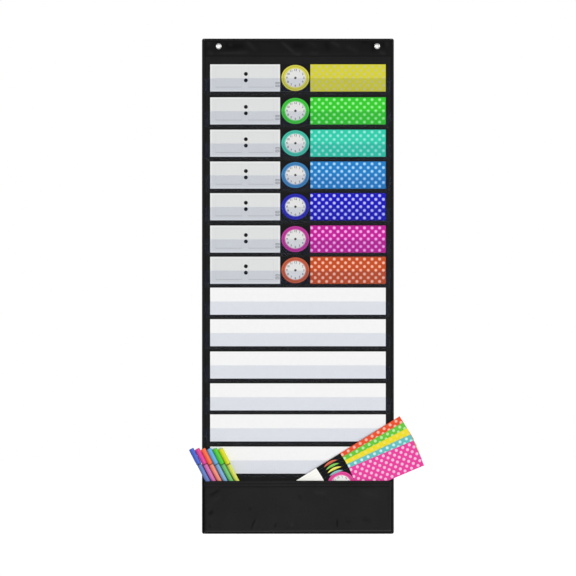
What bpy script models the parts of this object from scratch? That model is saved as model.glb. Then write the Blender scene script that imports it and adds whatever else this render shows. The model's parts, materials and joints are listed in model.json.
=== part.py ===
# Pocket chart: a black cloth panel that hangs from two eyelets, with thirteen clear pockets for
# card strips and a deep cloth pocket at the bottom that holds spare strips and pens.
# Metres, +Z up. The wall is the plane y = 0 and the chart's front faces -y. The origin lies on the
# wall, midway between the eyelets and at their height. A depth is a distance forward from the wall.
import math

import bmesh
import bpy
from mathutils import Matrix, Vector

# Fits
gap = 0.0003  # between pieces that touch
overrun = 0.002  # how far a cutter runs past the faces that it opens
merge_distance = 0.00001  # within which a turned piece's points join on its axis

# Cloth panel and header
chart_width = 0.330
chart_height = 0.853
top_above_eyelets = 0.0133
panel_thickness = 0.0008
hem_height = 0.030
hem_thickness = 0.0010

# Edge binding
binding_width = 0.0043
bottom_binding_width = 0.0031
binding_grip = 0.0025
bottom_binding_grip = 0.0020
binding_round = 0.0010
chart_corner_radius = 0.0035

# Eyelets and their washers
eyelet_inset = 0.0285
eyelet_bore = 0.0060
eyelet_wall = 0.0003
eyelet_flange_width = 0.0102
eyelet_flange_thickness = 0.0008
eyelet_rim_thickness = 0.0003
clinch_width = 0.0084
clinch_thickness = 0.0004
clinch_above_wall = 0.0002
washer_width = 0.0104
washer_thickness = 0.0004

# Card strips and the clear pockets that hold them
schedule_rows = 7
first_card_below_hem = 0.0145
last_pocket_above_mouth = 0.0068
card_width = 0.3024
card_height = 0.0466
card_thickness = 0.0005
card_lean = math.radians(2.0)
card_lift = 0.030
film_thickness = 0.0004
film_height = 0.0228
film_foot = 0.0013
film_flange = 0.0045
# One for each row: how far its pocket is sewn below an even spacing, as shares of the pitch
row_drift_shares = (0, 0.035, 0.05, 0.05, 0.045, 0.06, 0.04, 0.01, 0, 0.015, 0.015, -0.01, 0)

# Pens
pen_length = 0.1540
pen_tilt = math.radians(27.4)
pen_step = 0.01005
first_pen_at_mouth = -0.1546
barrel_width = 0.0072
tail_face_width = 0.0052
tail_round = 0.0012
neck_width = 0.0058
neck_length = 0.0090
tip_cone_width = 0.0030
tip_cone_length = 0.0030
nib_width = 0.0011
nib_length = 0.0028
cap_width = 0.0084
cap_length = 0.0295
cap_top_width = 0.0062
cap_round = 0.0013

# Spare strips, fanned out of the bottom pocket
spare_width = 0.2810
spare_front_gap = 0.0009
spare_angles = tuple(math.radians(degrees) for degrees in (31.9, 29.6, 27.4, 25.1, 22.9))
spare_corner_x = -0.0636
spare_corner_step_x = 0.0009
spare_corner_step_z = -0.0006

# Bottom pocket
storage_height = 0.0908
storage_wall = 0.0008
storage_floor_rise = 0.0056
storage_round = 0.0016
storage_hem_height = 0.0095
spare_room = 0.0012
deep_end_x = -0.0540
shallow_start_x = 0.0

# Faces of each turned or rounded piece
eyelet_sides = 24
pen_sides = 16
round_steps = 3
round_profile = 0.5  # a bevel's profile that gives a quarter circle

# Depths, worked out from the wall forward
clinch_front = clinch_above_wall + clinch_thickness
washer_back = clinch_front + gap
panel_back = washer_back + washer_thickness + gap
panel_front = panel_back + panel_thickness
on_panel = panel_front + gap
hem_front = on_panel + hem_thickness
flange_back = hem_front + gap
lifted_height = card_height + card_lift
card_reach = on_panel + card_thickness * math.cos(card_lean) + lifted_height * math.sin(card_lean)
pen_depth = card_reach + gap + cap_width / 2
deep_inside = pen_depth + barrel_width / 2 + gap
spare_back = card_reach + spare_front_gap
spare_pitch = card_thickness + gap
spare_front = spare_back + spare_pitch * (len(spare_angles) - 1) + card_thickness
shallow_inside = spare_front + spare_room

# Heights and half widths that several pieces share
top_z = top_above_eyelets
bottom_z = top_above_eyelets - chart_height
half_width = chart_width / 2
half_inside = half_width - binding_width - gap
eyelet_x = half_width - eyelet_inset
mouth_z = bottom_z + storage_height
floor_z = bottom_z + bottom_binding_width + storage_floor_rise
flange_z = bottom_z + bottom_binding_width + gap

black_cloth = (0.018, 0.018, 0.020)
strip_colours = {
    "yellow": (0.67, 0.64, 0.045),
    "green": (0.04, 0.64, 0.03),
    "teal": (0.033, 0.64, 0.44),
    "blue": (0.027, 0.23, 0.61),
    "indigo": (0.02, 0.017, 0.55),
    "magenta": (0.60, 0.023, 0.34),
    "orange": (0.60, 0.09, 0.027),
}
spare_colours = {
    "orange": (0.84, 0.14, 0.05),
    "green": (0.13, 0.61, 0.07),
    "yellow": (0.85, 0.74, 0.03),
    "teal": (0.15, 0.50, 0.52),
    "pink": (0.83, 0.07, 0.29),
}
pen_colours = {
    "blue": (0.05, 0.14, 0.55),
    "pink": (0.67, 0.06, 0.35),
    "orange": (0.92, 0.17, 0.06),
    "sky": (0.14, 0.43, 0.72),
    "green": (0.10, 0.50, 0.06),
    "lime": (0.60, 0.68, 0.03),
}
barrel_pale_share = 0.25  # how much whiter a pen's barrel is than its cap


def start_file():
    for old in list(bpy.data.objects):
        bpy.data.objects.remove(old, do_unlink=True)
    for name in ("Pocket chart", "Cutters"):
        bpy.context.scene.collection.children.link(bpy.data.collections.new(name))


def finish(name, colour, roughness, metallic=0.0, alpha=1.0):
    material = bpy.data.materials.new(name)
    material.use_nodes = True
    shader = material.node_tree.nodes["Principled BSDF"]
    shader.inputs["Base Color"].default_value = (*colour, 1.0)
    shader.inputs["Roughness"].default_value = roughness
    shader.inputs["Metallic"].default_value = metallic
    shader.inputs["Alpha"].default_value = alpha
    return material


def place(name, data, material, collection="Pocket chart"):
    piece = bpy.data.objects.new(name, data)
    bpy.data.collections[collection].objects.link(piece)
    if material is not None and not data.materials:
        data.materials.append(material)
    return piece


def outline_piece(name, loops, thickness, material, collection="Pocket chart"):
    # A flat piece from closed outlines, drawn in its own XY plane. Outlines inside the first are holes.
    curve = bpy.data.curves.new(name, "CURVE")
    curve.dimensions = "2D"
    curve.fill_mode = "BOTH"
    curve.extrude = thickness / 2
    for loop in loops:
        spline = curve.splines.new("POLY")
        spline.points.add(len(loop) - 1)
        for point, (x, y) in zip(spline.points, loop):
            point.co = (x, y, 0, 1)
        spline.use_cyclic_u = True
    return place(name, curve, material, collection)


def front_piece(name, loops, back, thickness, material):
    # An outline in x and z that lies flat on the wall side, with its back at the given depth
    piece = outline_piece(name, loops, thickness, material)
    piece.rotation_euler = (math.pi / 2, 0, 0)
    piece.location = (0, -(back + thickness / 2), 0)
    return piece


def rectangle(low_x, high_x, low_y, high_y):
    return [(low_x, low_y), (high_x, low_y), (high_x, high_y), (low_x, high_y)]


def circle(x, y, diameter, sides):
    turns = [2 * math.pi * step / sides for step in range(sides)]
    return [(x + diameter / 2 * math.cos(t), y + diameter / 2 * math.sin(t)) for t in turns]


def block_mesh(name, low, high):
    mesh = bmesh.new()
    bmesh.ops.create_cube(mesh, size=1)
    size = Vector(high) - Vector(low)
    centre = (Vector(high) + Vector(low)) / 2
    fit = Matrix.Translation(centre) @ Matrix.Diagonal((*size, 1))
    bmesh.ops.transform(mesh, matrix=fit, verts=mesh.verts)
    data = bpy.data.meshes.new(name)
    mesh.to_mesh(data)
    mesh.free()
    return data


def round_edges(data, chosen, radius):
    # Rounds the edges whose two ends both pass the test
    mesh = bmesh.new()
    mesh.from_mesh(data)
    edges = [edge for edge in mesh.edges if chosen(*(end.co for end in edge.verts))]
    steps = {"segments": round_steps, "profile": round_profile}
    bmesh.ops.bevel(mesh, geom=edges, offset=radius, affect="EDGES", **steps)
    mesh.to_mesh(data)
    mesh.free()


def prism_mesh(name, plan, low_z, high_z):
    # A plan outline in x and depth, raised from one height to another
    mesh = bmesh.new()
    face = mesh.faces.new([mesh.verts.new((x, -depth, low_z)) for x, depth in plan])
    raised = bmesh.ops.extrude_face_region(mesh, geom=[face])["geom"]
    lift = [item for item in raised if isinstance(item, bmesh.types.BMVert)]
    bmesh.ops.translate(mesh, vec=(0, 0, high_z - low_z), verts=lift)
    bmesh.ops.recalc_face_normals(mesh, faces=mesh.faces)
    data = bpy.data.meshes.new(name)
    mesh.to_mesh(data)
    mesh.free()
    return data


def combine(piece, other, operation):
    # Cuts the other shape from the piece, or joins it on
    other.hide_render = True
    other.display_type = "WIRE"
    step = piece.modifiers.new(other.name, "BOOLEAN")
    step.operation = operation
    step.object = other
    step.solver = "EXACT"


def turned_piece(name, profile, sides, material, closed=False):
    # A profile of radius and height points that runs down its outer side, turned about its own Z axis
    data = bpy.data.meshes.new(name)
    points = [(radius, 0, height) for radius, height in profile]
    edges = [(n, n + 1) for n in range(len(points) - 1)]
    if closed:
        edges.append((len(points) - 1, 0))
    data.from_pydata(points, edges, [])
    piece = place(name, data, material)
    screw = piece.modifiers.new("Turn", "SCREW")
    screw.axis = "Z"
    screw.angle = 2 * math.pi
    screw.steps = sides
    screw.render_steps = sides
    screw.use_merge_vertices = True
    screw.merge_threshold = merge_distance
    screw.use_smooth_shade = True
    return piece


def make_panel(cloth):
    # The panel's edges lie inside the binding, and its two holes clear the eyelets
    side = half_width - binding_width + binding_grip - gap
    top = top_z - binding_width + binding_grip - gap
    bottom = bottom_z + bottom_binding_width - bottom_binding_grip + gap
    loops = [rectangle(-side, side, bottom, top)] + eyelet_holes()
    front_piece("back_panel", loops, panel_back, panel_thickness, cloth)


def eyelet_holes():
    hole = eyelet_bore + 2 * eyelet_wall + 2 * gap
    return [circle(x, 0, hole, eyelet_sides) for x in (-eyelet_x, eyelet_x)]


def make_header_hem(cloth):
    # The top of the cloth is folded to the front and sewn down as a band
    outline = rectangle(-half_inside, half_inside, top_z - hem_height, top_z - binding_width - gap)
    front_piece("header_hem", [outline] + eyelet_holes(), on_panel, hem_thickness, cloth)


def make_binding(name, low, high, slot_low, slot_high, is_corner, tape):
    # A folded tape with a slot that grips the panel's edge. Its back stays flat against the wall.
    data = block_mesh(name, low, high)
    if is_corner is not None:
        round_edges(data, is_corner, chart_corner_radius)
    front = -hem_front
    close = gap / 2
    round_edges(data, lambda a, b: abs(a.y - front) < close and abs(b.y - front) < close, binding_round)
    piece = place(name, data, tape)
    cutter = place(name + "_slot", block_mesh(name + "_slot", slot_low, slot_high), None, "Cutters")
    combine(piece, cutter, "DIFFERENCE")


def make_bindings(tape):
    inner = half_width - binding_width
    grip = inner + binding_grip
    slot_back, slot_front = panel_back - gap, panel_front + gap
    for name, side in (("binding_left", -1), ("binding_right", 1)):
        low_x, high_x = sorted((side * inner, side * half_width))
        cut_low_x, cut_high_x = sorted((side * (inner - overrun), side * grip))

        def is_corner(a, b, side=side):
            outside = min(side * a.x, side * b.x) > half_width - gap
            return outside and abs(a.z - b.z) < gap

        make_binding(
            name,
            (low_x, -hem_front, bottom_z),
            (high_x, 0, top_z),
            (cut_low_x, -slot_front, bottom_z - overrun),
            (cut_high_x, -slot_back, top_z + overrun),
            is_corner,
            tape,
        )
    across = inner - gap
    bands = (
        ("binding_top", top_z - binding_width, top_z, -overrun, binding_grip),
        (
            "binding_bottom",
            bottom_z,
            bottom_z + bottom_binding_width,
            bottom_binding_width - bottom_binding_grip,
            bottom_binding_width + overrun,
        ),
    )
    for name, low_z, high_z, slot_low, slot_high in bands:
        make_binding(
            name,
            (-across, -hem_front, low_z),
            (across, 0, high_z),
            (-across - overrun, -slot_front, low_z + slot_low),
            (across + overrun, -slot_back, low_z + slot_high),
            None,
            tape,
        )


def make_eyelets(metal):
    # Heights in the profiles run forward from the wall, and the pieces are turned to face the room
    bore = eyelet_bore / 2
    outside = bore + eyelet_wall
    flange = eyelet_flange_width / 2
    clinch = clinch_width / 2
    flange_front = flange_back + eyelet_flange_thickness
    crown = (outside + flange) / 2
    eyelet = [
        (bore, flange_front - eyelet_rim_thickness),
        (outside, flange_front),
        (crown, flange_front),
        (flange, flange_back + eyelet_rim_thickness),
        (flange, flange_back),
        (outside, flange_back),
        (outside, clinch_front),
        (clinch, clinch_front),
        (clinch, clinch_above_wall),
        (bore, clinch_above_wall),
    ]
    washer_hole = outside + gap
    washer_front = washer_back + washer_thickness
    washer = [
        (washer_hole, washer_front),
        (washer_width / 2, washer_front),
        (washer_width / 2, washer_back),
        (washer_hole, washer_back),
    ]
    for word, x in (("left", -eyelet_x), ("right", eyelet_x)):
        for name, profile in (("eyelet_", eyelet), ("eyelet_washer_", washer)):
            piece = turned_piece(name + word, profile, eyelet_sides, metal, closed=True)
            piece.rotation_euler = (math.pi / 2, 0, 0)
            piece.location = (x, 0, 0)


def film_outline():
    # Side view of a clear pocket, drawn from the strip's back bottom corner. The flange is sewn to
    # the panel, the foot comes forward under the strip, and the front leans with it.
    forward = Vector((math.cos(card_lean), -math.sin(card_lean)))
    upward = Vector((math.sin(card_lean), math.cos(card_lean)))
    inside = (card_thickness + gap) * forward
    outside = inside + film_thickness * forward
    inner_corner = inside - gap * upward
    outer_corner = outside - (gap + film_foot) * upward
    foot_back = inner_corner - inner_corner.x / math.cos(card_lean) * forward
    flange_top = outer_corner - (outer_corner.x - film_thickness) / math.cos(card_lean) * forward
    flange_bottom = flange_top.y - film_flange
    return [
        (0, flange_bottom),
        (film_thickness, flange_bottom),
        tuple(flange_top),
        tuple(outer_corner),
        tuple(outside + film_height * upward),
        tuple(inside + film_height * upward),
        tuple(inner_corner),
        tuple(foot_back),
    ]


def card_foot_heights():
    # The rows are spread from the header hem down to the bottom pocket's mouth
    first = top_z - hem_height - first_card_below_hem - card_height * math.cos(card_lean)
    lowest_of_pocket = min(z for depth, z in film_outline())
    last = mouth_z + last_pocket_above_mouth - lowest_of_pocket
    pitch = (first - last) / (len(row_drift_shares) - 1)
    return [first - pitch * (row + share) for row, share in enumerate(row_drift_shares)]


def make_clear_pockets(film):
    outline = [(-depth, z) for depth, z in film_outline()]
    for row, foot_z in enumerate(card_foot_heights()):
        piece = outline_piece(f"clear_pocket_{row + 1:02d}", [outline], 2 * half_inside, film)
        piece.rotation_euler = (math.pi / 2, 0, math.pi / 2)
        piece.location = (0, -on_panel, foot_z)


def strip_mesh(name, width):
    # A strip stands on its bottom edge, with its back on the XZ plane
    return block_mesh(name, (-width / 2, -card_thickness, 0), (width / 2, 0, card_height))


def make_row_cards(finishes, blank):
    for row, foot_z in enumerate(card_foot_heights()):
        name = f"row_card_{row + 1:02d}"
        material = finishes[row] if row < schedule_rows else blank
        card = place(name, strip_mesh(name, card_width), material)
        card.rotation_euler = (card_lean, 0, 0)
        card.location = (0, -on_panel, foot_z)


def spare_corner_z(angle):
    # The front strip's low corner stands on the pocket's floor
    return floor_z + gap + card_height * math.cos(angle)


def make_spare_cards(finishes):
    # Each strip is placed by its top left corner, and the fan opens towards the front
    count = len(spare_angles)
    front_corner_z = spare_corner_z(spare_angles[-1])
    for order, (colour, angle) in enumerate(zip(finishes, spare_angles)):
        name = f"spare_card_{colour}"
        turn = Matrix.Rotation(-angle, 4, "Y")
        corner_x = spare_corner_x + order * spare_corner_step_x
        corner_z = front_corner_z + (order - count + 1) * spare_corner_step_z
        depth = spare_back + order * spare_pitch
        corner = turn @ Vector((-spare_width / 2, 0, card_height))
        card = place(name, strip_mesh(name, spare_width), finishes[colour])
        card.rotation_euler = (0, -angle, 0)
        card.location = Vector((corner_x, -depth, corner_z)) - corner


def make_storage_pocket(cloth):
    # A tray of cloth, deep over the pens and shallower over the strips, open at its top and back
    inner = half_inside - storage_wall
    front_line = ((deep_end_x, deep_inside), (shallow_start_x, shallow_inside))

    def plan(side, back, wall):
        left = [(-side, back), (-side, deep_inside + wall)]
        middle = [(x, depth + wall) for x, depth in front_line]
        return left + middle + [(side, shallow_inside + wall), (side, back)]

    outer_plan = plan(half_inside, on_panel, storage_wall)
    outer = prism_mesh("storage_pocket", outer_plan, floor_z - storage_wall, mouth_z)
    cutter_back = on_panel - overrun
    hollow = prism_mesh("storage_hollow", plan(inner, cutter_back, 0), floor_z, mouth_z + overrun)
    seam = block_mesh(
        "storage_seam",
        (-half_inside, -(on_panel + storage_wall), flange_z),
        (half_inside, -on_panel, floor_z - storage_wall / 2),
    )

    def is_front_edge(back, top):
        # The front's bottom edge and its two upright corners, but not the bends between them
        def chosen(a, b):
            ahead = -max(a.y, b.y) > back + gap and min(a.z, b.z) < top - gap
            upright = abs(a.x - b.x) < gap
            return ahead and (abs(a.x) > inner - gap or not upright)

        return chosen

    round_edges(outer, is_front_edge(on_panel, mouth_z), storage_round + storage_wall)
    round_edges(hollow, is_front_edge(cutter_back, mouth_z + overrun), storage_round)
    pocket = place("storage_pocket", outer, cloth)
    combine(pocket, place("storage_hollow", hollow, None, "Cutters"), "DIFFERENCE")
    combine(pocket, place("storage_seam", seam, None, "Cutters"), "UNION")

    reach = half_inside - storage_round - storage_wall
    line = [(-reach, deep_inside), *front_line, (reach, shallow_inside)]
    near = storage_wall + gap
    band = [(x, -(depth + near)) for x, depth in line]
    band += [(x, -(depth + near + storage_wall)) for x, depth in reversed(line)]
    hem = outline_piece("storage_pocket_hem", [band], storage_hem_height, cloth)
    hem.location = (0, 0, mouth_z - storage_hem_height / 2)


def make_pens(barrel_finishes, cap_finishes):
    tail_face = tail_face_width / 2
    barrel, neck, cone, nib = barrel_width / 2, neck_width / 2, tip_cone_width / 2, nib_width / 2
    barrel_length = pen_length - cap_length - gap
    neck_end = barrel_length + neck_length
    cone_end = neck_end + tip_cone_length
    nib_end = cone_end + nib_length
    barrel_profile = [
        (0, nib_end),
        (nib, nib_end - nib),
        (nib, cone_end),
        (cone, cone_end),
        (neck, neck_end),
        (neck, barrel_length),
        (barrel, barrel_length),
        (barrel, tail_round),
        (tail_face, 0),
        (0, 0),
    ]
    cap, cap_top, bore = cap_width / 2, cap_top_width / 2, neck + gap
    cavity = nib_end - barrel_length
    cap_profile = [
        (0, cap_length),
        (cap_top, cap_length),
        (cap, cap_length - cap_round),
        (cap, 0),
        (bore, 0),
        (bore, cavity),
        (0, cavity),
    ]
    tail_z = floor_z + gap + tail_face * math.sin(pen_tilt)
    tail_offset = (mouth_z - tail_z) * math.tan(pen_tilt)
    for number, colour in enumerate(barrel_finishes):
        tail_x = first_pen_at_mouth + number * pen_step + tail_offset
        pen = turned_piece(f"pen_barrel_{colour}", barrel_profile, pen_sides, barrel_finishes[colour])
        pen.location = (tail_x, -pen_depth, tail_z)
        pen.rotation_euler = (0, -pen_tilt, 0)
        lid = turned_piece(f"pen_cap_{colour}", cap_profile, pen_sides, cap_finishes[colour])
        lid.parent = pen
        lid.location = (0, 0, barrel_length + gap)


def paler(colour, share):
    return tuple(channel + (1 - channel) * share for channel in colour)


def finish_set(word, colours, roughness):
    return {name: finish(f"{word} {name}", colour, roughness) for name, colour in colours.items()}


def build():
    start_file()
    cloth = finish("Black cloth", black_cloth, roughness=0.9)
    tape = finish("Black binding tape", black_cloth, roughness=0.6)
    metal = finish("Nickel", (0.75, 0.75, 0.73), roughness=0.25, metallic=1.0)
    film = finish("Clear film", (0.85, 0.88, 0.95), roughness=0.1, alpha=0.35)
    blank = finish("White card", (0.90, 0.90, 0.90), roughness=0.45)
    row_finishes = list(finish_set("Strip", strip_colours, roughness=0.4).values())
    spare_finishes = finish_set("Spare", spare_colours, roughness=0.4)
    cap_finishes = finish_set("Cap", pen_colours, roughness=0.3)
    barrel_colours = {name: paler(colour, barrel_pale_share) for name, colour in pen_colours.items()}
    barrel_finishes = finish_set("Barrel", barrel_colours, roughness=0.25)
    make_panel(cloth)
    make_header_hem(cloth)
    make_bindings(tape)
    make_eyelets(metal)
    make_clear_pockets(film)
    make_row_cards(row_finishes, blank)
    make_spare_cards(spare_finishes)
    make_storage_pocket(cloth)
    make_pens(barrel_finishes, cap_finishes)


build()
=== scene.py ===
# Pocket chart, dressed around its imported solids: black cloth, clear film, printed strips and pens.
# Metres, +Z up. The wall is the plane y = 0 and the chart's front faces -Y.
import json
import math

import bmesh
import bpy
from mathutils import Matrix, Vector, noise


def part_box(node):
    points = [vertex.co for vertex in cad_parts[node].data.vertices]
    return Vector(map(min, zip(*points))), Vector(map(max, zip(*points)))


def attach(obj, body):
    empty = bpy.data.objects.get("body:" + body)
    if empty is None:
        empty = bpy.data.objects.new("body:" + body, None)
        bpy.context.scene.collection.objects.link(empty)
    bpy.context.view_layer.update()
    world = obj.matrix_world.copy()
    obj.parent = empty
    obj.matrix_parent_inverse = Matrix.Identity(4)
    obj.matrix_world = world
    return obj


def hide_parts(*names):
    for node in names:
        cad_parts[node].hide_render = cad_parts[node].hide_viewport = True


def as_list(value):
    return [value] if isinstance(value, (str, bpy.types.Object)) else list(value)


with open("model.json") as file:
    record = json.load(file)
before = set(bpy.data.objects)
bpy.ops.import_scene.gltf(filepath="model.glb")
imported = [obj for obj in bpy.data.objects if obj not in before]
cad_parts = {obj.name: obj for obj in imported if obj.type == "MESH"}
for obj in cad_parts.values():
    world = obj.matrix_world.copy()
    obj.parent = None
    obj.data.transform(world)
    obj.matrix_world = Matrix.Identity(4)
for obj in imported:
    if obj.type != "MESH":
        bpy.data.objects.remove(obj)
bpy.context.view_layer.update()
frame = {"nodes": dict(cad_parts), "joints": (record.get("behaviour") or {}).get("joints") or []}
boxes = {name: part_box(name) for name in frame["nodes"]}
jointAxes = {joint["name"]: Vector(joint["axis"]) for joint in frame["joints"]}
rowNames = [name for name in sorted(frame["nodes"]) if name.startswith("row_card_")]
outward = Vector((0, -1, 0))  # from the wall towards the room
print("Frame loaded:", len(frame["nodes"]), "solids")

# Shader sums. A Wire is one output of a shader node, so that maths on it reads as maths.

seenRays = ("Camera", "Glossy", "Transmission")


class Wire:
    def __init__(self, finish, socket):
        self.finish = finish
        self.socket = socket

    def maths(self, operation, *values, clamp=False):
        settings = {"operation": operation, "use_clamp": clamp}
        return self.finish.node("ShaderNodeMath", settings, dict(enumerate(values)))

    def __add__(self, other):
        return self.maths("ADD", self, other)

    __radd__ = __add__

    def __sub__(self, other):
        return self.maths("SUBTRACT", self, other)

    def __rsub__(self, other):
        return self.maths("SUBTRACT", other, self)

    def __mul__(self, other):
        return self.maths("MULTIPLY", self, other)

    __rmul__ = __mul__

    def __truediv__(self, other):
        return self.maths("DIVIDE", self, other)

    def __abs__(self):
        return self.maths("ABSOLUTE", self)

    def sine(self):
        return self.maths("SINE", self)

    def toNearest(self, spacing):
        # Distance to the nearest multiple of the spacing
        return self.maths("PINGPONG", self, spacing / 2)

    def larger(self, other):
        return self.maths("MAXIMUM", self, other)

    def smaller(self, other):
        return self.maths("MINIMUM", self, other)

    def reach(self, other):
        # Length of the vector that has these two as its sides
        return self.maths("SQRT", self * self + other * other)

    def inside(self, soft):
        # 1 where a signed distance is negative, 0 where it is positive, with a soft step between
        return self.maths("SUBTRACT", 0.5, self / soft, clamp=True)

    def along(self, direction):
        settings = {"operation": "DOT_PRODUCT"}
        return self.finish.node("ShaderNodeVectorMath", settings, {0: self, 1: direction}, "Value")


class NodeTree:
    def __init__(self, owner, outputNode):
        owner.use_nodes = True
        self.tree = owner.node_tree
        self.end = self.tree.nodes[outputNode].inputs["Surface"]

    def node(self, kind, settings, inputs, output=0):
        made = self.tree.nodes.new(kind)
        for word, value in settings.items():
            setattr(made, word, value)
        for key, value in inputs.items():
            self.feed(made.inputs[key], value)
        return Wire(self, made.outputs[output])

    def feed(self, socket, value):
        if isinstance(value, Wire):
            self.tree.links.new(value.socket, socket)
        elif socket.type == "RGBA" and len(value) == 3:
            socket.default_value = (*value, 1)
        else:
            socket.default_value = value

    def seen(self):
        # 1 where the camera, a gloss or a clear piece looks at it, 0 where it only gives light
        rays = [self.node("ShaderNodeLightPath", {}, {}, f"Is {kind} Ray") for kind in seenRays]
        return rays[0].larger(rays[1]).larger(rays[2])


class Finish(NodeTree):
    def __init__(self, name, roughness, **constants):
        self.material = bpy.data.materials.new(name)
        super().__init__(self.material, "Material Output")
        self.shader = self.tree.nodes["Principled BSDF"]
        self.set("Roughness", roughness)
        for word, value in constants.items():
            self.set(word.replace("_", " "), value)

    def set(self, word, value):
        self.feed(self.shader.inputs[word], value)

    def paint(self, under, over, amount):
        self.set("Base Color", self.mix(under, over, amount))

    def place(self):
        return self.node("ShaderNodeTexCoord", {}, {}, "Object")

    def facing(self):
        return self.node("ShaderNodeTexCoord", {}, {}, "Normal")

    def mix(self, under, over, amount):
        settings = {"data_type": "RGBA", "clamp_factor": False}
        return self.node("ShaderNodeMix", settings, {0: amount, 6: under, 7: over}, 2)

    def cloud(self, size, detail=2.0):
        # Soft blotches of about this size, from 0 to 1
        inputs = {"Vector": self.place(), "Scale": 1 / size, "Detail": detail}
        return self.node("ShaderNodeTexNoise", {}, inputs, "Fac")

    def veil(self, tint, amount):
        # Lets light through with a tint, and shows the shader itself by this amount
        clear = self.node("ShaderNodeBsdfTransparent", {}, {"Color": tint})
        body = Wire(self, self.shader.outputs[0])
        self.feed(self.end, self.node("ShaderNodeMixShader", {}, {0: amount, 1: clear, 2: body}))

    def bump(self, height, depth, strength=1.0):
        inputs = {"Height": height, "Distance": depth, "Strength": strength}
        self.set("Normal", self.node("ShaderNodeBump", {}, inputs, "Normal"))


def tone(red, green, blue):
    # A colour given as 0 to 255 on a screen, in the light values that Blender works in
    return tuple(linear(level / 255) for level in (red, green, blue))


def linear(level):
    return level / 12.92 if level <= 0.04045 else ((level + 0.055) / 1.055) ** 2.4


def scaled(colour, share):
    return tuple(channel * share for channel in colour)


matt = {"roughness": 0.7, "Specular_IOR_Level": 0.02}  # of cloth, tape and thread


# Mesh helpers

paintedShadeMark = "crease"
millimetre = 0.001
weldDistance = 0.000002
punchLength = 0.012


def gridMesh(acrossSteps, upSteps, pointAt):
    # A sheet of faces from a function of two shares, its front towards -Y where x runs across
    mesh = bmesh.new()
    rows = []
    for up in range(upSteps + 1):
        points = [pointAt(across / acrossSteps, up / upSteps) for across in range(acrossSteps + 1)]
        rows.append([mesh.verts.new(point) for point in points])
    for low, high in zip(rows, rows[1:]):
        for n in range(acrossSteps):
            mesh.faces.new((low[n], low[n + 1], high[n + 1], high[n]))
    return mesh


def loftMesh(rings, mesh=None):
    # A closed tube through rings of points, with flat ends
    mesh = mesh or bmesh.new()
    made = [[mesh.verts.new(point) for point in ring] for ring in rings]
    count = len(made[0])
    faces = []
    for first, second in zip(made, made[1:]):
        for n in range(count):
            after = (n + 1) % count
            faces.append(mesh.faces.new((first[n], first[after], second[after], second[n])))
    faces.append(mesh.faces.new(list(reversed(made[0]))))
    faces.append(mesh.faces.new(made[-1]))
    return mesh


def turnedMesh(profile, sides, closed=False):
    # A profile of radius and height points, turned about its own Z axis
    mesh = bmesh.new()
    points = [mesh.verts.new((radius, 0, height)) for radius, height in profile]
    lines = [mesh.edges.new(pair) for pair in zip(points, points[1:])]
    if closed:
        lines.append(mesh.edges.new((points[-1], points[0])))
    settings = {"cent": (0, 0, 0), "axis": (0, 0, 1), "angle": 2 * math.pi, "steps": sides}
    bmesh.ops.spin(mesh, geom=points + lines, use_merge=True, **settings)
    bmesh.ops.remove_doubles(mesh, verts=mesh.verts, dist=weldDistance)
    bmesh.ops.recalc_face_normals(mesh, faces=mesh.faces)
    return mesh


def arc(radius, height, size, start, end, steps=6):
    # Points on a circle round (radius, height), from one angle to another in degrees
    turns = [math.radians(start + (end - start) * step / steps) for step in range(steps + 1)]
    return [(radius + size * math.cos(turn), height + size * math.sin(turn)) for turn in turns]


def between(low, high, share):
    return low + (high - low) * share


def bell(distance, halfWidth):
    # 1 in the middle, falling off softly on both sides
    return math.exp(-((distance / halfWidth) ** 2))


def easeShare(share):
    share = min(max(share, 0), 1)
    return share * share * (3 - 2 * share)


def cloudAt(x, z, size):
    return noise.noise(Vector((x, 0, z)) / size)


def addObject(name, data):
    made = bpy.data.objects.new(name, data)
    bpy.context.scene.collection.objects.link(made)
    return made


def meshData(name, mesh):
    data = bpy.data.meshes.new(name)
    mesh.to_mesh(data)
    mesh.free()
    return data


def addPiece(name, mesh, finish, body="chart", replaces=(), slot=None, sharpAngle=40):
    data = meshData(name, mesh)
    data.shade_smooth()
    data.set_sharp_from_angle(angle=math.radians(sharpAngle))
    data.materials.append(finish.material)
    piece = addObject(name, data)
    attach(piece, body)
    if replaces:
        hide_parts(*replaces)
    return piece


def thicken(piece, thickness):
    step = piece.modifiers.new("Thickness", "SOLIDIFY")
    step.thickness = thickness
    step.offset = 0
    step.use_even_offset = True


def settle(piece):
    # Writes the piece's modifiers into its mesh
    view = bpy.context.evaluated_depsgraph_get()
    done = bpy.data.meshes.new_from_object(piece.evaluated_get(view))
    piece.modifiers.clear()
    old = piece.data
    piece.data = done
    bpy.data.meshes.remove(old)


def addDisc(mesh, sides, width, depth, where):
    settings = {"cap_ends": True, "segments": sides, "radius1": width / 2, "radius2": width / 2}
    bmesh.ops.create_cone(mesh, depth=depth, matrix=where, **settings)


def punch(piece, centres, width):
    # Cuts a round hole through the piece at each centre, from front to back
    for centre in centres:
        mesh = bmesh.new()
        where = Matrix.Translation(centre) @ Matrix.Rotation(math.pi / 2, 4, "X")
        addDisc(mesh, eyelets["sides"], width, punchLength, where)
        cutter = addObject("punch", meshData("punch", mesh))
        step = piece.modifiers.new("Hole", "BOOLEAN")
        step.operation = "DIFFERENCE"
        step.object = cutter
        step.solver = "EXACT"
        settle(piece)
        bpy.data.objects.remove(cutter, do_unlink=True)


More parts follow.
